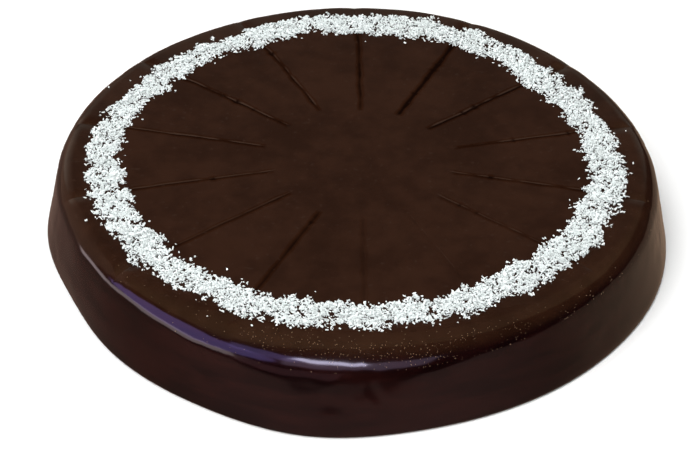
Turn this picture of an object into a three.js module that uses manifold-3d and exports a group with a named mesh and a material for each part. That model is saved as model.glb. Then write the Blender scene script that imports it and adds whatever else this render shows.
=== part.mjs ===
// A chocolate torte: a low round cake under a poured dark glaze, its top scored into portions,
// with a ring of desiccated coconut strewn on the top near the edge.
// Millimetres, +Z up, the flat base on z = 0.

import * as THREE from 'three';
import { mergeVertices } from 'three/addons/utils/BufferGeometryUtils.js';
import Module from 'manifold-3d';

const { clamp, degToRad, euclideanModulo, lerp, smoothstep, seededRandom } = THREE.MathUtils;

// The glazed cake
const FOOT_RADIUS = 140;
const SHOULDER_RADIUS = 134;
const HEIGHT = 36.3;
const FOOT_BEAD = 1.6;
const WALL_LEAN = degToRad(13);

// The shoulder is rounder at the front than at the back, most of all where the glaze sagged
const SHOULDER_ROUND = 9;
const SHOULDER_ROUND_SWING = 2;
const ROUNDEST_AT = degToRad(-75);
const SAG = { angle: degToRad(-100), spread: degToRad(27), round: 8, reach: 2.5, lean: degToRad(7.3) };

// The foot: glaze pooled out at the front, and tucked in beside it
const POOL = { angle: degToRad(-97), reach: 3.4, spread: degToRad(16) };
const TUCK = { angle: degToRad(-154), reach: -3.2, spread: degToRad(14) };

// The outline isn't a true circle: it wavers in a few whole waves, from this angle on
const WAVER = 0.5;
const WAVER_COUNTS = [4, 9, 14];
const WAVER_FROM = degToRad(57);

// The portion marks, scored from a point a little off the middle out over the edge
const SCORE_COUNT = 14;
const SCORE_TURN = degToRad(91.3);
const SCORE_CENTRE = new THREE.Vector2(1.7, 0.6);
const SCORE_START = 40;
const SCORE_START_SCATTER = 3;
const SCORE_HALF_WIDTH = 0.9;
const SCORE_DEPTH = 0.5;
const SCORE_RAMP = 4;
const FAINT_AT = degToRad(-63);
const FAINT_SPREAD = degToRad(30);
const FAINTNESS = 0.85;

// Each mark ends as a soft dent in the shoulder
const DENT_DEPTH = 1.1;
const DENT_HALF_WIDTH = 3.2;
const DENT_FROM = 114;
const DENT_FULL = 124;

// The coconut ring
const RING_CENTRE = new THREE.Vector2(-1.8, 2.2);
const RING_INNER = 103;
const RING_OUTER = 119.8;
const RING_CROWN = 1.5;
const RING_GAP = 0.3;
const RING_WAVER = 1;
const RING_WAVER_COUNTS = [4, 6, 11];
const RAGGED_EDGE = 1.7;
const BUMP = 1;
const BUMP_SPACING = 3.3;
const BUMP_SHIFT = 0.4;
const BUMP_SHIFT_AROUND = 0.8;

// The coconut flakes that stand out of the ring
const FLAKE_COUNT = 150;
const LONGEST_FLAKE = 4.4;
const SHORTEST_FLAKE = 2.4;
const FLAKE_WIDTH = 1.6;
const FLAKE_THICKNESS = 0.8;
const FLAKE_TILT = degToRad(22);
const FLAKE_OVERHANG = 1.2;

// How finely the surfaces are divided
const MARK_OFFSETS = [-6, -2.6, -SCORE_HALF_WIDTH, 0, SCORE_HALF_WIDTH, 2.6, 6];
const BETWEEN_MARKS = 3;
const PER_MARK = MARK_OFFSETS.length + BETWEEN_MARKS;
const TOP_RINGS = [117, 95, 70, 45, 41, 37, 33, 0];
const SHOULDER_STEPS = 6;
const WALL_STEPS = 3;
const BEAD_STEPS = 2;

// The finishes
const CHOCOLATE_GLAZE = { color: 0x2f1c14, roughness: 0.25, metalness: 0 };
const COCONUT = { color: 0xe6eae2, roughness: 0.85, metalness: 0 };

const SEED = 14;
const FULL_TURN = 2 * Math.PI;
const GOLDEN_ANGLE = Math.PI * (3 - Math.sqrt(5));

const wasm = await Module();
wasm.setup();
seededRandom(SEED);

const scoreMarks = Array.from({ length: SCORE_COUNT }, (_, index) => {
  const angle = SCORE_TURN - (SCORE_COUNT - index) * (FULL_TURN / SCORE_COUNT);
  return {
    angle,
    start: SCORE_START + spread(SCORE_START_SCATTER),
    pressure: 1 - FAINTNESS * bell(angle, FAINT_AT, FAINT_SPREAD),
  };
});

/** A seeded random number from -reach to reach. */
function spread(reach) {
  return reach * (2 * seededRandom() - 1);
}

/** A smooth hump of height 1 around an angle, with the given spread to each side. */
function bell(angle, middle, width) {
  const apart = euclideanModulo(angle - middle + Math.PI, FULL_TURN) - Math.PI;
  return Math.exp(-((apart / width) ** 2));
}

/** How far an outline strays from its circle at an angle: a sum of waves, each lower than the last. */
function waver(angle, counts, reach) {
  const waves = counts.map((count, index) => (
    Math.sin(count * (angle - WAVER_FROM) + index) / (index + 1) ** 2
  ));
  return reach * waves.reduce((sum, wave) => sum + wave, 0);
}

/** A lathe whose section changes as it turns: each vertex is placed by its meridian and ring. */
function shapeLathe(section, meridianCount, place) {
  const lathe = new THREE.LatheGeometry(section, meridianCount);
  const position = lathe.getAttribute('position');
  for (let meridian = 0; meridian <= meridianCount; meridian += 1) {
    for (let ring = 0; ring < section.length; ring += 1) {
      const [x, y, z] = place(meridian % meridianCount, ring);
      position.setXYZ(meridian * section.length + ring, x, y, z);
    }
  }
  lathe.deleteAttribute('normal');
  lathe.deleteAttribute('uv');
  return mergeVertices(lathe);
}

/** The angle of a meridian: the ones beside a score mark run along it, the others fill the gap. */
function meridianAngle(meridian, radius) {
  const mark = scoreMarks[Math.floor(meridian / PER_MARK)];
  const place = meridian % PER_MARK;
  const across = Math.max(radius, TOP_RINGS.at(-2));
  if (place < MARK_OFFSETS.length) {
    return mark.angle + MARK_OFFSETS[place] / across;
  }
  const beside = MARK_OFFSETS.at(-1) / across;
  const share = (place - MARK_OFFSETS.length + 1) / (BETWEEN_MARKS + 1);
  return mark.angle + lerp(beside, FULL_TURN / SCORE_COUNT - beside, share);
}

/** The meridian's score mark and its distance across it, or no mark between two of them. */
function markBeside(meridian) {
  const offset = MARK_OFFSETS[meridian % PER_MARK];
  return { mark: scoreMarks[Math.floor(meridian / PER_MARK)], offset: offset ?? Infinity };
}

/** How deep the score mark cuts into the top at a radius. */
function scoreDepth({ mark, offset }, radius) {
  if (Math.abs(offset) >= SCORE_HALF_WIDTH) {
    return 0;
  }
  return SCORE_DEPTH * mark.pressure * smoothstep(radius, mark.start, mark.start + SCORE_RAMP);
}

/** How deep the score mark's soft end dents the edge at a radius. */
function dentDepth({ mark, offset }, radius) {
  const across = Math.exp(-((offset / DENT_HALF_WIDTH) ** 2));
  return DENT_DEPTH * mark.pressure * across * smoothstep(radius, DENT_FROM, DENT_FULL);
}

/** How far out the foot stands at an angle. */
function footRadius(angle) {
  const pool = POOL.reach * bell(angle, POOL.angle, POOL.spread);
  const tuck = TUCK.reach * bell(angle, TUCK.angle, TUCK.spread);
  return FOOT_RADIUS + pool + tuck + waver(angle, WAVER_COUNTS, WAVER);
}

/** The cake's section at an angle, from the middle of the base up to the middle of the top. */
function cakeSection(angle) {
  const sag = bell(angle, SAG.angle, SAG.spread);
  const round = SHOULDER_ROUND + SHOULDER_ROUND_SWING * Math.cos(angle - ROUNDEST_AT) + SAG.round * sag;
  const shoulder = SHOULDER_RADIUS + SAG.reach * sag + waver(angle, WAVER_COUNTS, WAVER);
  const lean = WALL_LEAN + SAG.lean * sag;
  const foot = footRadius(angle);
  const bead = arcPoints(foot - FOOT_BEAD, FOOT_BEAD, FOOT_BEAD, [-Math.PI / 2, 0], BEAD_STEPS);
  const edge = arcPoints(shoulder - round, HEIGHT - round, round, [lean, Math.PI / 2], SHOULDER_STEPS);
  const wall = wallCurve(bead.at(-1), edge[0], lean).getPoints(WALL_STEPS).slice(1, -1);
  const top = TOP_RINGS.map((radius) => new THREE.Vector2(radius, HEIGHT));
  return [new THREE.Vector2(0, 0), ...bead, ...wall, ...edge, ...top];
}

/** The wall's line from the foot up to the shoulder, which it runs into at the given lean. */
function wallCurve(foot, shoulder, lean) {
  const half = (shoulder.y - foot.y) / 2;
  const bulge = new THREE.Vector2(shoulder.x + half * Math.tan(lean), shoulder.y - half);
  return new THREE.QuadraticBezierCurve(foot, bulge, shoulder);
}

/** Points along a round of the section, between two angles above the horizontal. */
function arcPoints(radius, height, round, [from, to], steps) {
  return Array.from({ length: steps + 1 }, (_, step) => {
    const lean = lerp(from, to, step / steps);
    return new THREE.Vector2(radius + round * Math.cos(lean), height + round * Math.sin(lean));
  });
}

/** The glazed cake, one solid with its score marks and dented shoulder. */
function torteGeometry() {
  const sectionAtStart = cakeSection(0);
  const firstTopRing = sectionAtStart.length - TOP_RINGS.length;
  const firstEdgeRing = firstTopRing - SHOULDER_STEPS - 1;
  return shapeLathe(sectionAtStart, SCORE_COUNT * PER_MARK, (meridian, ring) => {
    const section = cakeSection(meridianAngle(meridian, SHOULDER_RADIUS));
    const { x: radius, y: height } = section[ring];
    const angle = meridianAngle(meridian, radius);
    const beside = markBeside(meridian);
    const upEdge = clamp((ring - firstEdgeRing) / SHOULDER_STEPS, 0, 1);
    const onTop = ring < firstTopRing ? 0 : 1;
    const sink = upEdge * dentDepth(beside, radius) + onTop * scoreDepth(beside, radius);
    const shift = onTop * (1 - smoothstep(radius, TOP_RINGS[1], TOP_RINGS[0]));
    return [
      radius * Math.cos(angle) + shift * SCORE_CENTRE.x,
      radius * Math.sin(angle) + shift * SCORE_CENTRE.y,
      height - sink,
    ];
  });
}

/** A point of the ring, its share of the width running from 0 at the inner edge to 1 at the outer. */
function ringPoint(angle, share, height) {
  const radius = lerp(RING_INNER, RING_OUTER, share) + waver(angle, RING_WAVER_COUNTS, RING_WAVER);
  return new THREE.Vector3(
    RING_CENTRE.x + radius * Math.cos(angle),
    RING_CENTRE.y + radius * Math.sin(angle),
    HEIGHT + RING_GAP + height,
  );
}

/** The low mound's height at a share of the ring's width. */
function moundHeight(share) {
  return RING_CROWN * Math.sqrt(Math.max(0, 4 * share * (1 - share)));
}

/** The ring's core: a low mound with ragged edges and bumps of the flakes' size. */
function coreGeometry() {
  const columns = Math.round((FULL_TURN * RING_OUTER) / BUMP_SPACING);
  const rows = Math.round((RING_OUTER - RING_INNER) / BUMP_SPACING) + 1;
  const bumps = Array.from({ length: columns * (rows + 1) }, () => ({
    outward: spread(1),
    around: spread(BUMP_SHIFT_AROUND) / RING_OUTER,
    rise: spread(BUMP / 2),
  }));
  const mound = Array.from({ length: rows + 1 }, (_, row) => {
    const share = 1 - row / rows;
    return new THREE.Vector2(lerp(RING_INNER, RING_OUTER, share), moundHeight(share));
  });
  return shapeLathe([...mound, mound[0]], columns, (column, ring) => {
    const row = ring % mound.length;
    const { outward, around, rise } = bumps[column * mound.length + row];
    const atEdge = row === 0 || row === rows;
    const shift = outward * (atEdge ? RAGGED_EDGE : BUMP_SHIFT) / (RING_OUTER - RING_INNER);
    const share = 1 - row / rows;
    const angle = (column / columns) * FULL_TURN + around;
    const height = atEdge ? 0 : moundHeight(share) + rise;
    return ringPoint(angle, share + shift, height).toArray();
  });
}

/** One flat coconut flake lying on the ring, the longest first and all spread evenly round it. */
function flakeGeometry(index) {
  const length = lerp(LONGEST_FLAKE, SHORTEST_FLAKE, index / FLAKE_COUNT);
  const flake = new THREE.BoxGeometry(length, FLAKE_WIDTH, FLAKE_THICKNESS);
  const overhang = FLAKE_OVERHANG / (RING_OUTER - RING_INNER);
  const share = lerp(-overhang, 1 + overhang, seededRandom());
  const turn = new THREE.Euler(spread(FLAKE_TILT), spread(FLAKE_TILT), spread(Math.PI));
  const place = ringPoint(index * GOLDEN_ANGLE, share, moundHeight(share) + FLAKE_THICKNESS / 2);
  flake.applyMatrix4(new THREE.Matrix4().makeRotationFromEuler(turn).setPosition(place));
  flake.computeBoundingBox();
  flake.translate(0, 0, Math.max(0, HEIGHT + RING_GAP - flake.boundingBox.min.z));
  return flake;
}

/** A closed geometry as a solid that can be joined. */
function toSolid(geometry) {
  geometry.deleteAttribute('normal');
  geometry.deleteAttribute('uv');
  const welded = mergeVertices(geometry);
  return new wasm.Manifold(new wasm.Mesh({
    numProp: 3,
    vertProperties: new Float32Array(welded.getAttribute('position').array),
    triVerts: new Uint32Array(welded.index.array),
  }));
}

/** A solid as a three.js geometry. */
function toGeometry(solid) {
  const mesh = solid.getMesh();
  const geometry = new THREE.BufferGeometry();
  geometry.setAttribute('position', new THREE.BufferAttribute(mesh.vertProperties, 3));
  geometry.setIndex(new THREE.BufferAttribute(mesh.triVerts, 1));
  return geometry;
}

/** The coconut ring: flakes joined to the core, without any that missed it. */
function coconutGeometry() {
  const flakes = Array.from({ length: FLAKE_COUNT }, (_, index) => toSolid(flakeGeometry(index)));
  const joined = flakes.reduce((sum, flake) => sum.add(flake), toSolid(coreGeometry()));
  const [largest] = joined.decompose().sort((one, other) => other.volume() - one.volume());
  return toGeometry(largest);
}

/** A named mesh of the part. */
function makePart(name, geometry, finish) {
  geometry.computeVertexNormals();
  const part = new THREE.Mesh(geometry, new THREE.MeshStandardMaterial(finish));
  part.name = name;
  return part;
}

const torte = new THREE.Group();
torte.add(makePart('torte', torteGeometry(), CHOCOLATE_GLAZE));
torte.add(makePart('coconut_ring', coconutGeometry(), COCONUT));

// The origin is under the middle of the outline
const outline = new THREE.Box3().setFromObject(torte);
torte.position.set(-(outline.min.x + outline.max.x) / 2, -(outline.min.y + outline.max.y) / 2, 0);

export default torte;
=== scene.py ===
"""A chocolate torte with a strewn ring of coconut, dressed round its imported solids.

The glazed cake and the coconut stand for the solids, and fine specks are added to them.
The floor, the lamps and the camera show them. Metres, +Z up, the flat base on z = 0.
"""

import logging
import math
import random
from collections.abc import Mapping, Sequence
from dataclasses import dataclass, field
from enum import Enum
from functools import cached_property
from typing import Any, Union

import bmesh
import bpy
import numpy as np
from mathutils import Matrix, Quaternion, Vector, noise


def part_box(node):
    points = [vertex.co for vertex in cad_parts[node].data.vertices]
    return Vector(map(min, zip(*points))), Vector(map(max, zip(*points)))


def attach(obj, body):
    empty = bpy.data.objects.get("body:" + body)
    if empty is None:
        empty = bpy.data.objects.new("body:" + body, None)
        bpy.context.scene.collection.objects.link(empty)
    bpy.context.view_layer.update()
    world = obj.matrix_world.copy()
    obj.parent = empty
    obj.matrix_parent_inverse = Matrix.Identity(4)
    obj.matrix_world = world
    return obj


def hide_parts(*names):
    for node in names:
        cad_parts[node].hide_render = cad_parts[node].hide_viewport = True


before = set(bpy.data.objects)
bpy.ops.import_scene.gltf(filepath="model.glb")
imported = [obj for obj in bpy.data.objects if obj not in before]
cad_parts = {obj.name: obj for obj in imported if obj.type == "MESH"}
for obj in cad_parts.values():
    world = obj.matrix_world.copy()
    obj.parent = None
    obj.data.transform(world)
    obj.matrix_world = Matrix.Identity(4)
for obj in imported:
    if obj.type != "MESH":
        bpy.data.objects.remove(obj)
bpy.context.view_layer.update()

log = logging.getLogger("torte")

MM = 0.001
BODY = "root"
FOOT_CENTRE = Vector((0.053, 1.530, 0)) * MM
WELD = 1e-6
Span = tuple[float, float]
Colour = tuple[float, float, float]
Size = tuple[float, float, float]
Value = Union["Wire", float, Sequence[float]]


def smooth_step(value: float, low: float, high: float) -> float:
    """Rises smoothly from 0 at low to 1 at high.

    Args:
        value: Where to read the rise.
        low: Where it starts.
        high: Where it ends.

    Returns:
        The height of the rise, from 0 to 1.
    """
    share = min(1.0, max(0.0, (value - low) / (high - low)))
    return share * share * (3 - 2 * share)


def lerp(start: float, end: float, share: float) -> float:
    """Goes from start at share 0 to end at share 1."""
    return start + (end - start) * share


def around(radius: float, angle: float, height: float) -> Vector:
    """The place at a radius, an angle and a height."""
    return Vector((radius * math.cos(angle), radius * math.sin(angle), height))


def on_sphere(azimuth: float, elevation: float) -> Vector:
    """The direction of an azimuth, counted from +X, and an elevation, in degrees."""
    turn, rise = math.radians(azimuth), math.radians(elevation)
    return Vector((math.cos(turn) * math.cos(rise), math.sin(turn) * math.cos(rise), math.sin(rise)))


@dataclass(frozen=True)
class Hump:
    """A smooth swelling, or a hollow where its reach is negative, around an angle of the outline."""

    angle: float
    reach: float
    spread: float

    def at(self, angle: float) -> float:
        """How far the hump stands out at an angle."""
        apart = math.remainder(angle - self.angle, math.tau)
        return self.reach * math.exp(-((apart / self.spread) ** 2))


@dataclass(frozen=True)
class Waver:
    """How an outline strays from its circle: a sum of whole waves, each lower than the last."""

    counts: tuple[int, ...]
    reach: float
    start: float = math.radians(57)

    def at(self, angle: float) -> float:
        """How far the outline stands out at an angle."""
        return self.reach * sum(
            math.sin(count * (angle - self.start) + index) / (index + 1) ** 2
            for index, count in enumerate(self.counts)
        )


class Wire:
    """A shader socket that takes part in plain arithmetic."""

    def __init__(self, tree: "ShaderTree", socket: bpy.types.NodeSocket) -> None:
        """Holds an output socket of a tree."""
        self.tree = tree
        self.socket = socket

    def math(self, operation: str, *values: Value) -> "Wire":
        """A Math node of this operation on these values."""
        return self.tree.node("ShaderNodeMath", {"operation": operation}, dict(enumerate(values)))

    def __add__(self, other: Value) -> "Wire":
        """This plus the other."""
        return self.math("ADD", self, other)

    def __radd__(self, other: Value) -> "Wire":
        """The other plus this."""
        return self.math("ADD", other, self)

    def __sub__(self, other: Value) -> "Wire":
        """This less the other."""
        return self.math("SUBTRACT", self, other)

    def __rsub__(self, other: Value) -> "Wire":
        """The other less this."""
        return self.math("SUBTRACT", other, self)

    def __mul__(self, other: Value) -> "Wire":
        """This times the other."""
        return self.math("MULTIPLY", self, other)

    def __rmul__(self, other: Value) -> "Wire":
        """The other times this."""
        return self.math("MULTIPLY", other, self)

    def rise(self, low: float, high: float) -> "Wire":
        """A smooth rise from 0, where this is low, to 1, where it is high."""
        sockets = {"Value": self, "From Min": low, "From Max": high}
        return self.tree.node("ShaderNodeMapRange", {"interpolation_type": "SMOOTHSTEP"}, sockets)

    def blend(self, start: Value, end: Value) -> "Wire":
        """A colour that goes from start, where this is 0, to end, where it is 1."""
        settings = {"data_type": "RGBA", "clamp_factor": True}
        return self.tree.node("ShaderNodeMix", settings, {0: self, 6: start, 7: end}, output=2)


class ShaderTree:
    """A node tree that is filled through one method for every kind of node."""

    def __init__(self, owner: Union[bpy.types.Material, bpy.types.World]) -> None:
        """Starts with an empty tree.

        Args:
            owner: The material or the world whose tree it is.
        """
        owner.use_nodes = True
        self.nodes = owner.node_tree.nodes
        self.links = owner.node_tree.links
        self.nodes.clear()

    def node(
        self,
        kind: str,
        settings: Mapping[str, Any] | None = None,
        sockets: Mapping[Union[str, int], Value] | None = None,
        output: Union[str, int] = 0,
    ) -> Wire:
        """Adds a node.

        Args:
            kind: The node's type.
            settings: Its own settings, which are set first.
            sockets: The values or links of its inputs, by name or number.
            output: The output that is handed on, by name or number.

        Returns:
            That output, or the node's first input where it has no output.
        """
        made = self.nodes.new(kind)
        for name, setting in (settings or {}).items():
            setattr(made, name, setting)
        for name, value in (sockets or {}).items():
            if isinstance(value, Wire):
                self.links.new(value.socket, made.inputs[name])
            else:
                made.inputs[name].default_value = self._fitted(made.inputs[name], value)
        return Wire(self, made.outputs[output] if made.outputs else made.inputs[0])

    @staticmethod
    def _fitted(socket: bpy.types.NodeSocket, value: Value) -> Value:
        """A value as the socket takes it: a colour is given its fourth number."""
        return (*value, 1.0) if socket.type == "RGBA" and len(value) == 3 else value

    def place(self) -> Wire:
        """The place on the piece, in metres."""
        return self.node("ShaderNodeTexCoord", output="Object")

    def painted(self, name: str) -> Wire:
        """A number that the piece's mesh holds at each of its points."""
        return self.node("ShaderNodeAttribute", {"attribute_name": name}, output="Fac")

    def stretched(self, place: Wire, scale: Sequence[float]) -> Wire:
        """A place with its three axes scaled."""
        return self.node("ShaderNodeVectorMath", {"operation": "MULTIPLY"}, {0: place, 1: scale})

    def along(self, place: Wire, axis: str) -> Wire:
        """How far a place lies along the X, Y or Z axis."""
        return self.node("ShaderNodeSeparateXYZ", None, {0: place}, output=axis)

    def off_axis(self, place: Wire) -> Wire:
        """How far a place lies from the Z axis."""
        flat = self.stretched(place, (1, 1, 0))
        return self.node("ShaderNodeVectorMath", {"operation": "LENGTH"}, {0: flat}, output="Value")

    def grain(self, place: Wire, scale: float, detail: float = 3.0, roughness: float = 0.5) -> Wire:
        """Soft noise from 0 to 1, with this many features to the metre."""
        sockets = {"Vector": place, "Scale": scale, "Detail": detail, "Roughness": roughness}
        return self.node("ShaderNodeTexNoise", {"noise_dimensions": "3D"}, sockets)

    def relief(self, height: Wire, distance: float, strength: float) -> Wire:
        """A surface direction that follows a height, full at this distance in metres."""
        sockets = {"Height": height, "Distance": distance, "Strength": strength}
        return self.node("ShaderNodeBump", None, sockets)

    def lit(self, sockets: Mapping[str, Value]) -> Wire:
        """A lit surface with these inputs."""
        return self.node("ShaderNodeBsdfPrincipled", None, sockets)

    def close(self, surface: Wire) -> None:
        """Ends the tree in this surface."""
        self.node("ShaderNodeOutputMaterial", None, {"Surface": surface})


@dataclass(frozen=True)
class GlazeFinish:
    """Poured dark chocolate: dull and faintly mottled on the top, dark and glossy on shoulder and wall."""

    top_height: float
    top_fade: Span = (1.6 * MM, 0.15 * MM)
    brown_fade: Span = (6.0 * MM, 2.0 * MM)
    rim: Span = (107 * MM, 120 * MM)
    top_dark: Colour = (0.0142, 0.0047, 0.0021)
    top_light: Colour = (0.0227, 0.0081, 0.0038)
    # Painted shade darkens the grooves and pits; a painted highlight lies on each groove's lit face, in
    # the colour that the random pale flecks share.
    groove_shade: Colour = (0.0040, 0.0015, 0.0010)
    groove_highlight_and_fleck_pale: Colour = (0.0385, 0.0215, 0.0145)
    wall_dark: Colour = (0.0034, 0.0004, 0.0005)
    wall_light: Colour = (0.0124, 0.0024, 0.0019)
    satin: float = 0.42
    rim_satin: float = 0.26
    gloss: float = 0.12
    gloss_swing: float = 0.10
    dullness: float = 0.70
    rim_dullness: float = 0.40
    refraction: float = 1.45
    broad_patches: float = 26
    small_patches: float = 120
    flecks: float = 420
    pits: float = 900
    pit_depth: float = 0.06 * MM
    smears: Size = (30, 90, 60)
    # The wall's colour runs and blots partly paint in the streaky, blotchy reflections of the glossy wall.
    runs: Size = (16, 16, 110)
    blots: Size = (38, 38, 170)

    def under_top(self, height: Wire, fade: Span) -> Wire:
        """A rise from 0 to 1 between two depths under the top."""
        return height.rise(self.top_height - fade[0], self.top_height - fade[1])

    def top_colour(self, tree: ShaderTree, place: Wire) -> Wire:
        """Colours the top: mottled, painted shade in grooves and pits, a painted highlight on each
        groove's lit face, and pale flecks.

        Args:
            tree: The material's tree.
            place: The place on the cake.

        Returns:
            The colour.
        """
        broad = tree.grain(place, self.broad_patches, 4.0, 0.6)
        small = tree.grain(place, self.small_patches, 3.0, 0.6)
        mottled = (broad * 0.6 + small * 0.4).rise(0.36, 0.64).blend(self.top_dark, self.top_light)
        # Painted shade: grooves are darkened, and their pits most of all.
        scored = (tree.painted("cut") * 0.9).blend(mottled, self.groove_shade)
        flecks = tree.grain(place, self.flecks, 1.0).rise(0.68, 0.76)
        # Painted highlight on each groove's face towards the light, plus random pale flecks.
        return (tree.painted("pale") + flecks * 0.25).blend(scored, self.groove_highlight_and_fleck_pale)

    def wall_colour(self, tree: ShaderTree, place: Wire) -> Wire:
        """Colours the wall: long runs and shorter blots, partly uneven glaze and partly painted
        reflections of the glossy wall.

        Args:
            tree: The material's tree.
            place: The place on the cake.

        Returns:
            The colour.
        """
        runs = tree.grain(tree.stretched(place, self.runs), 1.0, 4.0, 0.55)
        blots = tree.grain(tree.stretched(place, self.blots), 1.0, 3.0, 0.6)
        return (runs * 0.6 + blots * 0.4).rise(0.38, 0.62).blend(self.wall_dark, self.wall_light)

    def material(self) -> bpy.types.Material:
        """Makes the glaze.

        Returns:
            A material that reads off the mesh the painted groove shade, the painted groove highlight and
            the dulled places.
        """
        made = bpy.data.materials.new("chocolate_glaze")
        tree = ShaderTree(made)
        place = tree.place()
        height = tree.along(place, "Z")
        on_top = self.under_top(height, self.top_fade)
        browned = self.under_top(height, self.brown_fade)
        rim = tree.off_axis(place).rise(*self.rim)
        smears = tree.grain(tree.stretched(place, self.smears), 1.0, 2.0, 0.5)
        pitted = tree.grain(place, self.pits, 2.0) * on_top + smears * 0.6
        colour = browned.blend(self.wall_colour(tree, place), self.top_colour(tree, place))
        shared = {"Base Color": colour, "Normal": tree.relief(pitted, self.pit_depth, 0.5)}
        satin = rim * (self.rim_satin - self.satin) + self.satin
        roughness = on_top * (satin - self.gloss) + self.gloss + (smears - 0.5) * self.gloss_swing
        glossy = tree.lit({**shared, "Roughness": roughness, "IOR": self.refraction})
        flat = tree.lit({**shared, "Roughness": 0.9, "Specular IOR Level": 0.0})
        matt = on_top * (rim * (self.rim_dullness - self.dullness) + self.dullness)
        dulled = matt + tree.painted("dull") * (1.0 - matt)
        tree.close(tree.node("ShaderNodeMixShader", None, {0: dulled, 1: glossy, 2: flat}))
        return made


@dataclass(frozen=True)
class CoconutFinish:
    """Dry white coconut, each flake a little lighter or creamier than the next."""

    name: str
    shaded: Colour = (0.30, 0.33, 0.33)
    white: Colour = (0.855, 0.905, 0.895)
    roughness: float = 0.70
    refraction: float = 1.4
    grit: float = 1400
    grit_swing: float = 0.1
    grit_depth: float = 0.08 * MM

    def material(self) -> bpy.types.Material:
        """Makes the coconut.

        Returns:
            A material that reads each flake's tone off the mesh.
        """
        made = bpy.data.materials.new(self.name)
        tree = ShaderTree(made)
        grit = tree.grain(tree.place(), self.grit, 2.0)
        tone = tree.painted("tone") + (grit - 0.5) * self.grit_swing
        tree.close(tree.lit({
            "Base Color": tone.blend(self.shaded, self.white),
            "Roughness": self.roughness,
            "IOR": self.refraction,
            "Normal": tree.relief(grit, self.grit_depth, 0.5),
        }))
        return made


@dataclass(frozen=True)
class FloorFinish:
    """A plain pale floor."""

    colour: Colour = (0.93, 0.93, 0.92)
    roughness: float = 0.9
    refraction: float = 1.2

    def material(self) -> bpy.types.Material:
        """Makes the floor's paint.

        Returns:
            The material.
        """
        made = bpy.data.materials.new("pale_floor")
        tree = ShaderTree(made)
        paint = {"Base Color": self.colour, "Roughness": self.roughness, "IOR": self.refraction}
        tree.close(tree.lit(paint))
        return made


def show_piece(
    name: str, mesh: bpy.types.Mesh, finish: bpy.types.Material, node: str | None
) -> bpy.types.Object:
    """Puts a finished mesh into the scene as a piece of the torte.

    Args:
        name: The piece's name.
        mesh: Its mesh, in place.
        finish: Its material.
        node: The solid that it stands for, or None where it is only added.

    Returns:
        The piece.
    """
    mesh.materials.append(finish)
    piece = bpy.data.objects.new(name, mesh)
    bpy.context.scene.collection.objects.link(piece)
    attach(piece, BODY)
    if node:
        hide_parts(node)
    mesh.calc_loop_triangles()
    log.info("%s: %d triangles", name, len(mesh.loop_triangles))
    return piece


def mesh_of(name: str, shape: bmesh.types.BMesh) -> bpy.types.Mesh:
    """Turns a finished shape into a mesh, welded and facing outward.

    Args:
        name: The mesh's name.
        shape: The shape, which is freed.

    Returns:
        The mesh.
    """
    bmesh.ops.remove_doubles(shape, verts=shape.verts, dist=WELD)
    bmesh.ops.recalc_face_normals(shape, faces=shape.faces)
    mesh = bpy.data.meshes.new(name)
    shape.to_mesh(mesh)
    shape.free()
    return mesh


def tint(mesh: bpy.types.Mesh, tones: np.ndarray) -> None:
    """Gives each point of a coconut mesh its tone, from shaded at 0 to white at 1."""
    layer = mesh.attributes.new("tone", "FLOAT", "POINT")
    layer.data.foreach_set("value", tones.astype(np.float32))


def spin_section(section: Sequence[Span], steps: int, closed: bool) -> bmesh.types.BMesh:
    """Spins a section a full turn about the Z axis.

    Args:
        section: Radius and height of each of its points.
        steps: How many times it is repeated round the turn.
        closed: True where the last point joins the first.

    Returns:
        The shape; the whole-number vertex layer "station" counts the points of the section.
    """
    shape = bmesh.new()
    station = shape.verts.layers.int.new("station")
    points = [shape.verts.new((radius, 0, height)) for radius, height in section]
    for index, point in enumerate(points):
        point[station] = index
    pairs = list(zip(points, points[1:]))
    if closed:
        pairs.append((points[-1], points[0]))
    lines = [shape.edges.new(pair) for pair in pairs]
    full_turn = {"cent": (0, 0, 0), "axis": (0, 0, 1), "angle": math.tau, "use_merge": True}
    bmesh.ops.spin(shape, geom=points + lines, steps=steps, **full_turn)
    bmesh.ops.remove_doubles(shape, verts=shape.verts, dist=WELD)
    return shape


class Zone(Enum):
    """The stretches of the cake's section, from the middle of the base up to the middle of the top."""

    BASE = "base"
    BEAD = "bead"
    WALL = "wall"
    EDGE = "edge"
    TOP = "top"


@dataclass(frozen=True)
class Station:
    """A point of the section: its stretch and its share of it, which on the top is a radius."""

    zone: Zone
    share: float


@dataclass(frozen=True)
class Outline:
    """The section at one angle: its foot, the middle and radius of its shoulder, and the wall's lean."""

    foot: float
    edge: float
    bend: float
    lean: float


@dataclass(frozen=True)
class ScoreMark:
    """One portion mark: its angle, the radius where it starts, how hard it was pressed and its number."""

    angle: float
    start: float
    pressure: float
    number: int


@dataclass(frozen=True)
class Score:
    """A place on a mark: how deep it is, and, from 0 to 1, its painted groove shade, painted groove
    highlight and dullness.
    """

    sink: float = 0.0
    cut: float = 0.0
    pale: float = 0.0
    dull: float = 0.0


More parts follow.
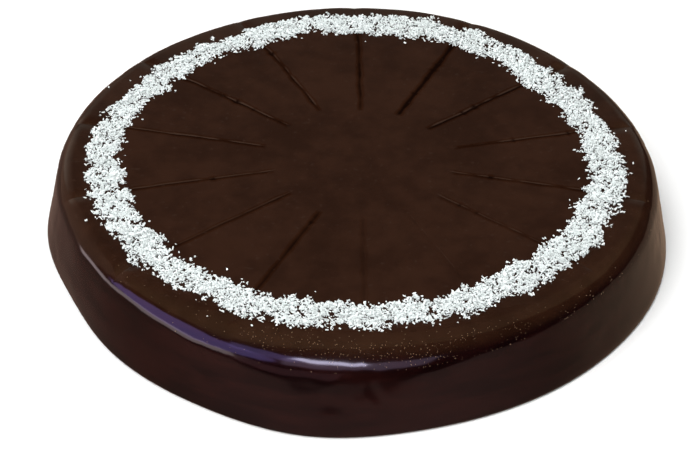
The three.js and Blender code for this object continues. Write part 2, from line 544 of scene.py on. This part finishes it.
@dataclass
class GlazedTorte:
    """The low round cake under its poured glaze, its top scored into portions."""

    axis: Vector
    height: float
    foot_radius: float = 140 * MM
    shoulder_radius: float = 134 * MM
    foot_bead: float = 1.6 * MM
    wall_lean: float = math.radians(13)
    shoulder_round: float = 9 * MM
    shoulder_round_swing: float = 2 * MM
    roundest_at: float = math.radians(-75)
    sag: Hump = Hump(math.radians(-100), 1.0, math.radians(27))
    sag_round: float = 8 * MM
    sag_reach: float = 2.5 * MM
    sag_lean: float = math.radians(7.3)
    pool: Hump = Hump(math.radians(-97), 3.4 * MM, math.radians(16))
    tuck: Hump = Hump(math.radians(-154), -3.2 * MM, math.radians(14))
    waver: Waver = Waver((4, 9, 14), 0.5 * MM)
    mark_count: int = 14
    mark_turn: float = math.radians(91.3)
    mark_centre: Vector = field(default_factory=lambda: Vector((1.7, 0.6, 0)) * MM)
    mark_start: float = 40 * MM
    mark_start_scatter: float = 3 * MM
    mark_half_width: float = 1.15 * MM
    mark_depth: float = 0.5 * MM
    mark_lip: float = 0.03 * MM
    mark_ramp: float = 4 * MM
    mark_wander: float = 0.4 * MM
    wander_length: float = 11 * MM
    beat_length: float = 6 * MM
    pit_length: float = 2.6 * MM
    pressures: tuple[float, ...] = (0.8, 0.7, 0.8, 0.6, 0.5, 0.6, 0.7, 0.2, 0.1, 0.3, 0.4, 0.6, 1.2, 1.4)
    # Azimuth of the light that the painted groove highlight is laid towards, in radians.
    painted_light_from: float = math.radians(-106)
    dent_depth: float = 1.1 * MM
    dent_half_width: float = 3.2 * MM
    notch_depth: float = 0.4 * MM
    notch_half_width: float = 0.7 * MM
    dent_reach: Span = (114 * MM, 124 * MM)
    shift_fade: Span = (95 * MM, 117 * MM)
    top_unevenness: float = 0.12 * MM
    wall_unevenness: float = 0.28 * MM
    swell_length: float = 24 * MM
    dimple_length: float = 7 * MM
    run_height: float = 9 * MM
    ripple_height: float = 5 * MM
    meridians_per_mark: int = 48
    crowding: float = 0.08
    seed: int = 14

    @cached_property
    def marks(self) -> list[ScoreMark]:
        """Sets out the portion marks.

        Returns:
            The marks, in order of their angles.
        """
        draw = random.Random(self.seed)
        marks = []
        for number in range(self.mark_count):
            angle = self.mark_turn - (self.mark_count - number) * math.tau / self.mark_count
            start = self.mark_start + draw.uniform(-1, 1) * self.mark_start_scatter
            marks.append(ScoreMark(angle, start, self.pressures[number], number))
        return marks

    @cached_property
    def stations(self) -> list[Station]:
        """Sets out the points of the section, closest together along the marks and on the shoulder.

        Returns:
            The points, from the middle of the base up to the middle of the top.
        """
        under_coconut = np.arange(117, 102, -2.5)
        along_marks = np.arange(102, 33, -1.3)
        inside_marks = (28, 20, 10, 0)
        top = [*under_coconut, *along_marks, *inside_marks]
        return [
            Station(Zone.BASE, 0),
            Station(Zone.BASE, 0.9),
            *(Station(Zone.BEAD, step / 4) for step in range(5)),
            *(Station(Zone.WALL, step / 12) for step in range(1, 12)),
            *(Station(Zone.EDGE, step / 16) for step in range(17)),
            *(Station(Zone.TOP, float(radius) * MM) for radius in top),
        ]

    def outline(self, angle: float) -> Outline:
        """Measures the section at an angle.

        Args:
            angle: The angle.

        Returns:
            The measures, with the sag, the pool and the tuck in them.
        """
        sag = self.sag.at(angle)
        waver = self.waver.at(angle)
        bend = self.shoulder_round + self.shoulder_round_swing * math.cos(angle - self.roundest_at)
        bend += self.sag_round * sag
        return Outline(
            foot=self.foot_radius + self.pool.at(angle) + self.tuck.at(angle) + waver,
            edge=self.shoulder_radius + self.sag_reach * sag + waver - bend,
            bend=bend,
            lean=self.wall_lean + self.sag_lean * sag,
        )

    def on_edge(self, outline: Outline, share: float) -> Span:
        """Finds a point on the shoulder's round.

        Args:
            outline: The section's measures.
            share: From the wall at 0 to the top at 1.

        Returns:
            Its radius and height.
        """
        turn = lerp(outline.lean, math.pi / 2, share)
        rise = self.height - outline.bend + outline.bend * math.sin(turn)
        return outline.edge + outline.bend * math.cos(turn), rise

    def on_bead(self, outline: Outline, share: float) -> Span:
        """Finds a point on the small round at the foot.

        Args:
            outline: The section's measures.
            share: From the base at 0 to the wall at 1.

        Returns:
            Its radius and height.
        """
        turn = lerp(-math.pi / 2, 0, share)
        out = outline.foot - self.foot_bead + self.foot_bead * math.cos(turn)
        return out, self.foot_bead + self.foot_bead * math.sin(turn)

    def on_wall(self, outline: Outline, share: float) -> Span:
        """Finds a point on the wall, which bulges to run smoothly into the shoulder.

        Args:
            outline: The section's measures.
            share: From the foot at 0 to the shoulder at 1.

        Returns:
            Its radius and height.
        """
        foot, shoulder = self.on_bead(outline, 1), self.on_edge(outline, 0)
        half = (shoulder[1] - foot[1]) / 2
        bulge = shoulder[0] + half * math.tan(outline.lean)
        out = lerp(lerp(foot[0], bulge, share), lerp(bulge, shoulder[0], share), share)
        return out, lerp(foot[1], shoulder[1], share)

    def on_section(self, station: Station, outline: Outline) -> Span:
        """Finds a point of the section.

        Args:
            station: The point.
            outline: The section's measures.

        Returns:
            Its radius and height.
        """
        if station.zone is Zone.BASE:
            return station.share * outline.foot, 0.0
        if station.zone is Zone.TOP:
            return station.share, self.height
        stretch = {Zone.BEAD: self.on_bead, Zone.WALL: self.on_wall, Zone.EDGE: self.on_edge}[station.zone]
        return stretch(outline, station.share)

    def section(self, angle: float) -> list[Span]:
        """Radius and height of every station at an angle."""
        outline = self.outline(angle)
        return [self.on_section(station, outline) for station in self.stations]

    def meridian(self, index: int) -> tuple[ScoreMark, float]:
        """Finds a meridian; they crowd round the marks.

        Args:
            index: Its number, counted from the first mark.

        Returns:
            The nearest mark, and the meridian's angle from it.
        """
        mark = self.marks[index // self.meridians_per_mark]
        share = (index % self.meridians_per_mark) / self.meridians_per_mark * 2
        if share > 1:
            mark = self.marks[(mark.number + 1) % self.mark_count]
            share -= 2
        return mark, math.pi / self.mark_count * (self.crowding * share + (1 - self.crowding) * share**3)

    @staticmethod
    def flutter(mark: ScoreMark, along: float, row: float, layer: float) -> float:
        """Noise along a mark, from -1 to 1, that differs from mark to mark."""
        return noise.noise(Vector((along, mark.number * row, layer)))

    def score(self, mark: ScoreMark, offset: float, radius: float) -> Score:
        """Presses a mark into the top: pits along it and lips beside it, with painted shade in the groove
        and a painted highlight on its face towards the light.

        Args:
            mark: The mark.
            offset: How far the place lies beside the mark's line.
            radius: How far it lies from the middle.

        Returns:
            The mark at that place.
        """
        beat = self.flutter(mark, radius / self.beat_length, 7.3, 0.5)
        pit = smooth_step(self.flutter(mark, radius / self.pit_length, 5.9, 2.5), 0.35, 0.6)
        beside = offset + self.mark_wander * self.flutter(mark, radius / self.wander_length, 3.1, 4.5)
        width = self.mark_half_width * (0.75 + 0.3 * mark.pressure)
        across = abs(beside) / (width * (1 + 0.4 * beat + 0.4 * pit))
        pressed = mark.pressure * smooth_step(radius, mark.start, mark.start + self.mark_ramp)
        inside = max(0.0, 1 - across)
        cut = pressed * inside * (0.8 + 0.5 * beat + 0.6 * pit)
        lip = pressed * math.exp(-(((across - 1.5) / 0.5) ** 2))
        # Painted highlight: the groove face that looks towards the light's azimuth given above is laid
        # pale.
        facing_light = math.sin(mark.angle - self.painted_light_from) * beside / self.mark_half_width
        lit_face = smooth_step(facing_light, 0.12, 0.48) * smooth_step(beat, -0.4, 0.0) * (1 - pit)
        # cut is painted shade in the groove, darkest in its pits; pale is the painted highlight on its lit
        # face.
        return Score(
            sink=self.mark_depth * cut - self.mark_lip * lip,
            cut=min(1.0, (1.3 + 0.9 * pit) * cut),
            pale=min(1.0, 2.5 * math.sqrt(pressed) * inside * lit_face),
            dull=smooth_step(pressed, 0.0, 0.4) * smooth_step(across, 2.0, 1.1),
        )

    def dent_sink(self, mark: ScoreMark, offset: float, radius: float) -> float:
        """Dents the edge at a mark's soft end.

        Args:
            mark: The mark.
            offset: How far the place lies beside the mark's line.
            radius: How far it lies from the middle.

        Returns:
            How deep the place is pressed in.
        """
        dent = self.dent_depth * math.exp(-((offset / self.dent_half_width) ** 2))
        notch = self.notch_depth * math.exp(-((offset / self.notch_half_width) ** 2))
        return mark.pressure * (dent + notch) * smooth_step(radius, *self.dent_reach)

    def unevenness(self, station: Station, angle: float, radius: float, height: float) -> Span:
        """Lets the poured glaze stray from its plain form.

        Args:
            station: The point of the section.
            angle: Its angle.
            radius: Its radius on the plain form.
            height: Its height on the plain form.

        Returns:
            How far it stands out, and how far up.
        """
        flat = around(radius, angle, height)
        swell = noise.noise(flat / self.swell_length)
        if station.zone is Zone.TOP:
            fade = smooth_step(radius, 0, 8 * MM)
            dimple = noise.noise(flat / self.dimple_length)
            return 0.0, fade * self.top_unevenness * (swell + 0.35 * dimple)
        if station.zone in (Zone.BASE, Zone.BEAD):
            return 0.0, 0.0
        runs = noise.noise(Vector((angle * 11, height / self.run_height, 0.3)))
        ripple = noise.noise(Vector((angle * 34, height / self.ripple_height, 2.7)))
        share = station.share if station.zone is Zone.WALL else 1 - station.share
        fade = smooth_step(share, 0, 0.3)
        return self.wall_unevenness * fade * (swell + 0.7 * runs + 0.35 * ripple), 0.0

    def place(self, index: int, station: Station, radius: float, height: float) -> tuple[Vector, Score]:
        """Sets a point of the section in place on one of the meridians.

        Args:
            index: The meridian.
            station: The point of the section.
            radius: Its radius on the plain form.
            height: Its height on the plain form.

        Returns:
            The place in the frame, and the mark there.
        """
        mark, apart = self.meridian(index)
        angle = mark.angle + apart
        offset = apart * radius
        up_edge = {Zone.EDGE: station.share**2, Zone.TOP: 1.0}.get(station.zone, 0.0)
        score = Score()
        shift = 0.0
        if station.zone is Zone.TOP:
            score = self.score(mark, offset, radius)
            shift = 1 - smooth_step(radius, *self.shift_fade)
        sink = score.sink + up_edge * self.dent_sink(mark, offset, radius)
        out, up = self.unevenness(station, angle, radius, height)
        spot = around(radius + out, angle, height + up - sink)
        return self.axis + spot + shift * self.mark_centre, score

    def shoulder_point(self, angle: float, share: float) -> Vector:
        """Finds a place on the shoulder, as the frame has it.

        Args:
            angle: Its angle.
            share: From the wall at 0 to the top at 1, then on across the top.

        Returns:
            The place.
        """
        outline = self.outline(angle)
        radius, rise = self.on_edge(outline, min(share, 1.0))
        radius -= max(0.0, share - 1.0) * outline.bend
        return self.axis + around(radius, angle, rise)

    def shape(self) -> bmesh.types.BMesh:
        """Spins the section round, then sets each point in place.

        Returns:
            The cake's form, which holds at each point its painted groove shade, painted groove highlight
            and dullness.
        """
        steps = self.mark_count * self.meridians_per_mark
        shape = spin_section(self.section(0.0), steps, closed=False)
        paint = shape.verts.layers.float
        cut_of, pale_of, dull_of = paint.new("cut"), paint.new("pale"), paint.new("dull")
        station_of = shape.verts.layers.int["station"]
        sections = []
        for index in range(steps):
            mark, apart = self.meridian(index)
            sections.append(self.section(mark.angle + apart))
        for point in shape.verts:
            index = round(math.atan2(point.co.y, point.co.x) / math.tau * steps) % steps
            number = point[station_of]
            point.co, score = self.place(index, self.stations[number], *sections[index][number])
            point[cut_of], point[pale_of], point[dull_of] = score.cut, score.pale, score.dull
        return shape

    def build(self) -> list[bpy.types.Object]:
        """Makes the glazed cake.

        Returns:
            Its one piece.
        """
        mesh = mesh_of("glazed_torte", self.shape())
        mesh.shade_smooth()
        finish = GlazeFinish(self.height).material()
        return [show_piece("glazed_torte", mesh, finish, "torte")]


@dataclass(frozen=True)
class FlakeSort:
    """A sort of flakes: how many, their smallest and largest sizes, their bend and unevenness."""

    count: int
    length: Span
    width: Span
    thickness: Span
    bends: bool
    unevenness: float


class Flakes(Enum):
    """The sorts of coconut flakes in the ring."""

    SHREDS = FlakeSort(
        2600, (1.1 * MM, 2.7 * MM), (0.26 * MM, 0.50 * MM), (0.2 * MM, 0.38 * MM), True, 0.22
    )
    CHIPS = FlakeSort(
        13600, (0.5 * MM, 1.3 * MM), (0.32 * MM, 0.75 * MM), (0.22 * MM, 0.42 * MM), False, 0.30
    )
    CRUMBS = FlakeSort(
        9500, (0.3 * MM, 0.6 * MM), (0.25 * MM, 0.5 * MM), (0.22 * MM, 0.4 * MM), False, 0.30
    )


@dataclass(frozen=True)
class Flake:
    """One flake where it came to lie."""

    sort: Flakes
    size: Size
    spot: tuple[float, float, float]
    heading: float
    pitch: float
    roll: float


@dataclass
class Pile:
    """How high the coconut lies, on a grid over the top of the cake."""

    cell: float = 0.5 * MM
    reach: float = 140 * MM
    steepest: float = 0.5

    def __post_init__(self) -> None:
        """Starts with nothing on the top."""
        count = round(2 * self.reach / self.cell)
        self.heights = np.zeros((count, count))

    def cells(self, x: np.ndarray, y: np.ndarray) -> tuple[np.ndarray, np.ndarray]:
        """The grid cells of these places."""
        return ((x + self.reach) / self.cell).astype(int), ((y + self.reach) / self.cell).astype(int)

    def settle(self, spot: Span, heading: float, size: Size) -> Span:
        """Lets a flake fall flat on what lies there, and raises the pile by it.

        Args:
            spot: The middle of the flake, seen from above.
            heading: The angle that its length runs along.
            size: Its length, width and thickness.

        Returns:
            The height of its middle above the top, and the slope that it lies at.
        """
        length, width, thickness = size
        along, across = np.meshgrid(np.linspace(-0.5, 0.5, 5) * length, np.linspace(-0.4, 0.4, 3) * width)
        x = spot[0] + along * math.cos(heading) - across * math.sin(heading)
        y = spot[1] + along * math.sin(heading) + across * math.cos(heading)
        under = self.cells(x, y)
        ground = self.heights[under]
        lift = ground[:, -2:].mean() - ground[:, :2].mean()
        slope = float(np.clip(lift / (0.8 * length), -self.steepest, self.steepest))
        rest = ground - slope * along
        middle = float(0.2 * rest.max() + 0.8 * rest.mean()) + 0.5 * thickness
        self.heights[under] = np.maximum(ground, middle + slope * along + 0.3 * thickness)
        return middle, slope


@dataclass
class CoconutRing:
    """The ring of desiccated coconut strewn on the top near the edge."""

    axis: Vector
    top: float
    offset: Vector = field(default_factory=lambda: Vector((-1.8, 2.2, 0)) * MM)
    inner: float = 102.4 * MM
    outer: float = 120.3 * MM
    pinch: Hump = Hump(math.radians(155), -2.6 * MM, math.radians(40))
    waver: Waver = Waver((4, 6, 11), 1 * MM)
    wander: float = 3.8 * MM
    wander_length: float = 14 * MM
    fray: float = 3.5 * MM
    tuft: float = 6 * MM
    gap: float = 1.7 * MM
    stray: float = 0.0008
    tilt: float = 0.30
    bend: Span = (-0.4, 0.7)
    tone: float = 0.90
    tone_spread: float = 0.10
    flake_finish: CoconutFinish = CoconutFinish("coconut")
    bed_columns: int = 960
    bed_rows: int = 18
    bed_share: float = 0.65
    bed_sink: float = 0.75 * MM
    bed_side: float = 2.0 * MM
    bed_foot: float = 2.5 * MM
    # The bed's grey tone and finish are painted shade: the shadow deep in the gaps between the flakes,
    # over fine crumbs.
    bed_tone: float = 0.5
    bed_finish: CoconutFinish = CoconutFinish("coconut_shade", (0.22, 0.22, 0.22), (0.58, 0.60, 0.59))
    seed: int = 5

    def __post_init__(self) -> None:
        """Sets out an empty pile."""
        self.pile = Pile()

    @property
    def middle(self) -> Vector:
        """The middle of the ring on the top of the cake."""
        return self.axis + self.offset + Vector((0, 0, self.top))

    def density(self, angle: float, radius: float) -> float:
        """Tells how thickly the coconut is strewn: ragged at the edges, with gaps between them.

        Args:
            angle: The angle of the place.
            radius: How far it lies from the ring's middle.

        Returns:
            The thickness, from 0 to 1.
        """
        spot = Vector((math.cos(angle), math.sin(angle), 0)) * radius
        ragged = 0.9 * noise.noise(spot / self.tuft) + noise.noise(spot / self.gap)
        plain = radius - self.waver.at(angle)
        inward = min(plain - self.inner, self.outer + self.pinch.at(angle) - plain)
        inward += self.wander * noise.noise(spot / self.wander_length)
        return smooth_step(min(1.0, inward / self.fray) + 1.1 * ragged, 0.0, 1.1)

    def strewn_spot(self, draw: random.Random) -> Span:
        """Lets a flake fall.

        Args:
            draw: The random draws.

        Returns:
            Where it falls, seen from above and measured from the ring's middle.
        """
        while True:
            angle = draw.uniform(-math.pi, math.pi)
            radius = draw.uniform(self.inner - 2 * self.fray, self.outer + 2 * self.fray)
            if draw.random() < max(self.stray, self.density(angle, radius)):
                return radius * math.cos(angle), radius * math.sin(angle)

    def strew(self) -> list[Flake]:
        """Strews all the flakes in a mixed order, each onto those below it.

        Returns:
            The flakes, in the order in which they fell.
        """
        draw = random.Random(self.seed)
        order = [sort for sort in Flakes for _ in range(sort.value.count)]
        draw.shuffle(order)
        flakes = []
        for sort in order:
            kind = sort.value
            size = (draw.uniform(*kind.length), draw.uniform(*kind.width), draw.uniform(*kind.thickness))
            spot = self.strewn_spot(draw)
            heading = draw.uniform(0, math.tau)
            height, slope = self.pile.settle(spot, heading, size)
            pitch = math.atan(slope) + draw.gauss(0, self.tilt)
            roll = draw.gauss(0, 1.5 * self.tilt)
            flakes.append(Flake(sort, size, (*spot, height), heading, pitch, roll))
        return flakes

    @staticmethod
    def template(sort: Flakes) -> bmesh.types.BMesh:
        """Makes a plain flake of unit size, cut across where its sort bends.

        Args:
            sort: The sort.

        Returns:
            The flake.
        """
        shape = bmesh.new()
        bmesh.ops.create_cube(shape, size=1.0)
        if sort.value.bends:
            whole = [*shape.verts, *shape.edges, *shape.faces]
            bmesh.ops.bisect_plane(shape, geom=whole, plane_co=(0, 0, 0), plane_no=(1, 0, 0))
        bmesh.ops.recalc_face_normals(shape, faces=shape.faces)
        return shape

    @staticmethod
    def turns(flakes: Sequence[Flake]) -> np.ndarray:
        """Turns the flakes as they lie.

        Args:
            flakes: The flakes.

        Returns:
            The rotation matrix of each.
        """
        heading = [Quaternion((0, 0, 1), flake.heading) for flake in flakes]
        pitch = [Quaternion((0, 1, 0), -flake.pitch) for flake in flakes]
        roll = [Quaternion((1, 0, 0), flake.roll) for flake in flakes]
        return np.array([(a @ b @ c).to_matrix() for a, b, c in zip(heading, pitch, roll)])

    def joined(self, sort: Flakes, flakes: Sequence[Flake]) -> bpy.types.Mesh:
        """Joins all the flakes of a sort, each uneven, bent and turned in its own way.

        Args:
            sort: The sort.
            flakes: Its flakes.

        Returns:
            The mesh, which holds the tone of each flake.
        """
        shape = self.template(sort)
        shape.verts.index_update()
        corners = np.array([point.co for point in shape.verts])
        faces = np.array([[point.index for point in face.verts] for face in shape.faces])
        shape.free()
        draw = np.random.default_rng(self.seed)
        count, each = len(flakes), len(corners)
        size = np.array([flake.size for flake in flakes])[:, None, :]
        spread = sort.value.unevenness
        points = (corners + draw.uniform(-spread, spread, (count, each, 3))) * size
        bend = draw.uniform(*self.bend, (count, 1)) * size[:, :, 0]
        points[:, :, 2] -= bend * (np.abs(corners[:, 0]) ** 2 - 0.1)
        spots = np.array([flake.spot for flake in flakes])[:, None, :] + np.array(self.middle)
        points = np.einsum("nij,nkj->nki", self.turns(flakes), points) + spots
        mesh = bpy.data.meshes.new(f"coconut_{sort.name.lower()}")
        all_faces = (faces[None] + each * np.arange(count)[:, None, None]).reshape(-1, faces.shape[1])
        mesh.from_pydata(points.reshape(-1, 3).tolist(), [], all_faces.tolist())
        tint(mesh, np.repeat(np.clip(draw.normal(self.tone, self.tone_spread, count), 0, 1), each))
        return mesh

    def bed(self) -> bpy.types.Mesh:
        """Makes the fine crumbs under the flakes, painted grey as the shade deep between them: a low
        closed band that follows the pile.

        Returns:
            The mesh, in one tone.
        """
        rows = np.linspace(self.inner, self.outer, self.bed_rows)
        section = [(radius, 0.0) for radius in rows]
        section += [(rows[-1], -self.bed_foot), (rows[0], -self.bed_foot)]
        shape = spin_section(section, self.bed_columns, closed=True)
        station_of = shape.verts.layers.int["station"]
        for point in shape.verts:
            if 0 < point[station_of] < self.bed_rows - 1:
                column, row = self.pile.cells(np.array([point.co.x]), np.array([point.co.y]))
                near = self.pile.heights[column[0] - 2:column[0] + 3, row[0] - 2:row[0] + 3]
                point.co.z = self.bed_share * float(near.mean()) - self.bed_sink
            else:
                point.co.z = min(point.co.z, -self.bed_side)
        bmesh.ops.translate(shape, verts=shape.verts, vec=self.middle)
        mesh = mesh_of("coconut_bed", shape)
        tint(mesh, np.full(len(mesh.vertices), self.bed_tone))
        return mesh

    def build(self) -> list[bpy.types.Object]:
        """Makes the strewn coconut.

        Returns:
            A piece for each sort of flakes, and the bed below them.
        """
        finish = self.flake_finish.material()
        flakes = self.strew()
        meshes = [self.joined(sort, [flake for flake in flakes if flake.sort is sort]) for sort in Flakes]
        pieces = [show_piece(mesh.name, mesh, finish, "coconut_ring") for mesh in meshes]
        shade = self.bed_finish.material()
        return [*pieces, show_piece("coconut_bed", self.bed(), shade, "coconut_ring")]


@dataclass
class FineSpecks:
    """The fine pale specks of coconut dust that stick to the front of the shoulder."""

    torte: GlazedTorte
    count: int = 460
    size: Span = (0.14 * MM, 0.26 * MM)
    unevenness: Span = (0.6, 1.2)
    thickest_at: float = math.radians(-80)
    spread: float = math.radians(22)
    climb: float = 0.48
    climb_slant: float = 0.1
    climb_spread: float = 0.22
    lowest: float = 0.15
    highest: float = 1.3
    tone: float = 0.6
    finish: CoconutFinish = CoconutFinish("coconut_dust", (0.16, 0.10, 0.06), (0.32, 0.22, 0.13))
    seed: int = 9

    def build(self) -> list[bpy.types.Object]:
        """Makes the specks.

        Returns:
            Their one piece.
        """
        draw = random.Random(self.seed)
        shape = bmesh.new()
        for _ in range(self.count):
            angle = draw.gauss(self.thickest_at, self.spread)
            climb = self.climb + self.climb_slant * (self.thickest_at - angle) / self.spread
            share = min(self.highest, max(self.lowest, draw.gauss(climb, self.climb_spread)))
            spot = self.torte.shoulder_point(angle, share)
            grain = bmesh.ops.create_cube(shape, size=draw.uniform(*self.size))["verts"]
            for point in grain:
                point.co = point.co * draw.uniform(*self.unevenness) + spot
        mesh = mesh_of("fine_specks", shape)
        tint(mesh, np.full(len(mesh.vertices), self.tone))
        return [show_piece("fine_specks", mesh, self.finish.material(), None)]


@dataclass(frozen=True)
class Softbox:
    """A soft lamp: where it hangs, seen from the cake, its size, light and form; angles in degrees."""

    name: str
    azimuth: float
    elevation: float
    size: Span
    brightness: float
    colour: Colour = (1.0, 1.0, 1.0)
    roll: float = 0.0
    oval: bool = False
    mirrored: bool = True
    distance: float = 1.6

    def build(self) -> bpy.types.Object:
        """Hangs the lamp facing the cake: the gloss mirrors it, or else it lights the cake.

        Returns:
            The lamp.
        """
        lamp = bpy.data.lights.new(self.name, "AREA")
        lamp.shape = "ELLIPSE" if self.oval else "RECTANGLE"
        lamp.size, lamp.size_y = self.size
        area = self.size[0] * self.size[1] * (math.pi / 4 if self.oval else 1)
        lamp.energy = self.brightness * math.pi * area
        lamp.color = self.colour
        hung = bpy.data.objects.new(self.name, lamp)
        hung.location = on_sphere(self.azimuth, self.elevation) * self.distance
        facing = hung.location.to_track_quat("Z", "Y")
        hung.rotation_euler = (facing @ Quaternion((0, 0, 1), math.radians(self.roll))).to_euler()
        hung.visible_glossy = self.mirrored
        hung.visible_diffuse = not self.mirrored
        bpy.context.scene.collection.objects.link(hung)
        return hung


@dataclass
class Studio:
    """The pale floor, the soft lamps, the dim room and the camera."""

    axis: Vector
    lamps: tuple[Softbox, ...] = (
        Softbox("ceiling_light", -122, 57, (1.4, 1.4), 5.5, mirrored=False),
        Softbox("fill_light", 80, 66, (2.0, 2.0), 1.55, mirrored=False),
        Softbox("window", -97, 40.6, (0.66, 0.19), 14.0, (0.91, 0.87, 1.18), roll=-25),
        Softbox("window_glow", -90, 33, (1.3, 0.44), 0.9, (1.15, 0.89, 1.35), roll=-10),
        Softbox("corner_window", -122, 41, (0.55, 0.34), 0.8, (1.1, 0.85, 2.3)),
        Softbox("side_window", -152, 26, (1.75, 0.74), 1.0, (1.15, 0.85, 2.4), roll=15, oval=True),
        Softbox("low_window", -164, 8, (2.2, 0.30), 2.5, (1.12, 0.92, 0.95), roll=15),
        Softbox("warm_counter", -112, 12.5, (1.13, 0.36), 0.5, (1.0, 0.45, 0.50)),
        Softbox("back_wall", 95, 20, (2.5, 0.66), 0.34, (1.0, 1.0, 0.85)),
        Softbox("left_wall", 146, 22, (1.5, 1.3), 0.38, (1.0, 0.62, 0.45)),
        Softbox("warm_ceiling", 90, 76, (3.6, 1.4), 0.30, (1.0, 0.66, 0.34), roll=25),
    )
    room: Colour = (0.016, 0.014, 0.016)
    below_left: Colour = (0.215, 0.134, 0.106)
    below_front: Colour = (0.45, 0.265, 0.235)
    below_right: Colour = (0.365, 0.245, 0.170)
    front_fade: Span = (0.2, 0.9)
    right_fade: Span = (0.4, 1.2)
    dip_from: Span = (0.0, 0.3)
    dip_to: Span = (0.45, 0.7)
    dip: float = 0.11
    horizon: Span = (-0.01, 0.02)
    floor_size: float = 6.0
    camera_distance: float = 1.0
    camera_elevation: float = 37.271
    camera_aim: Vector = field(default_factory=lambda: Vector((-2.848, -8.757, 0)) * MM)
    camera_roll: float = math.radians(0.9505)
    camera_lens: float = 112.65
    camera_sensor: float = 36
    camera_sight: Span = (0.05, 20)

    def build_floor(self) -> bpy.types.Object:
        """Lays the floor under the cake; the gloss of the glaze doesn't mirror it.

        Returns:
            The floor.
        """
        shape = bmesh.new()
        bmesh.ops.create_grid(shape, x_segments=1, y_segments=1, size=self.floor_size / 2)
        floor = bpy.data.objects.new("floor", mesh_of("floor", shape))
        floor.data.materials.append(FloorFinish().material())
        floor.visible_glossy = False
        bpy.context.scene.collection.objects.link(floor)
        return floor

    def build_room(self) -> None:
        """Makes the room dim above eye level and lighter below it; on the right that level dips."""
        world = bpy.data.worlds.new("room")
        tree = ShaderTree(world)
        way = tree.node("ShaderNodeTexCoord", output="Generated")
        right, back, up = (tree.along(way, axis) for axis in "XYZ")
        ahead = (0.0 - back).rise(*self.front_fade).blend(self.below_left, self.below_front)
        below = (right + back).rise(*self.right_fade).blend(ahead, self.below_right)
        dip = right.rise(*self.dip_from) - right.rise(*self.dip_to)
        colour = (up + dip * self.dip).rise(*self.horizon).blend(below, self.room)
        glow = tree.node("ShaderNodeBackground", None, {"Color": colour, "Strength": 1.0})
        tree.node("ShaderNodeOutputWorld", None, {"Surface": glow})
        bpy.context.scene.world = world

    def build_camera(self) -> None:
        """Sets up the camera from the front and above."""
        lens = bpy.data.cameras.new("camera")
        lens.lens = self.camera_lens
        lens.sensor_width = self.camera_sensor
        lens.clip_start, lens.clip_end = self.camera_sight
        camera = bpy.data.objects.new("camera", lens)
        camera.location = self.axis + on_sphere(-90, self.camera_elevation) * self.camera_distance
        look = (self.axis + self.camera_aim - camera.location).to_track_quat("-Z", "Y")
        camera.rotation_euler = (look @ Quaternion((0, 0, 1), self.camera_roll)).to_euler()
        bpy.context.scene.collection.objects.link(camera)
        bpy.context.scene.camera = camera

    def build(self) -> None:
        """Sets up everything round the cake."""
        self.build_floor()
        self.build_room()
        for lamp in self.lamps:
            lamp.build()
        self.build_camera()
        bpy.context.scene.view_settings.view_transform = "Standard"


def main() -> None:
    """Builds the torte piece by piece, and the studio round it."""
    logging.basicConfig(level=logging.INFO, format="%(name)s: %(message)s")
    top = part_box("torte")[1].z
    torte = GlazedTorte(FOOT_CENTRE, top)
    torte.build()
    CoconutRing(FOOT_CENTRE, top).build()
    FineSpecks(torte).build()
    Studio(FOOT_CENTRE).build()


if __name__ == "__main__":
    main()
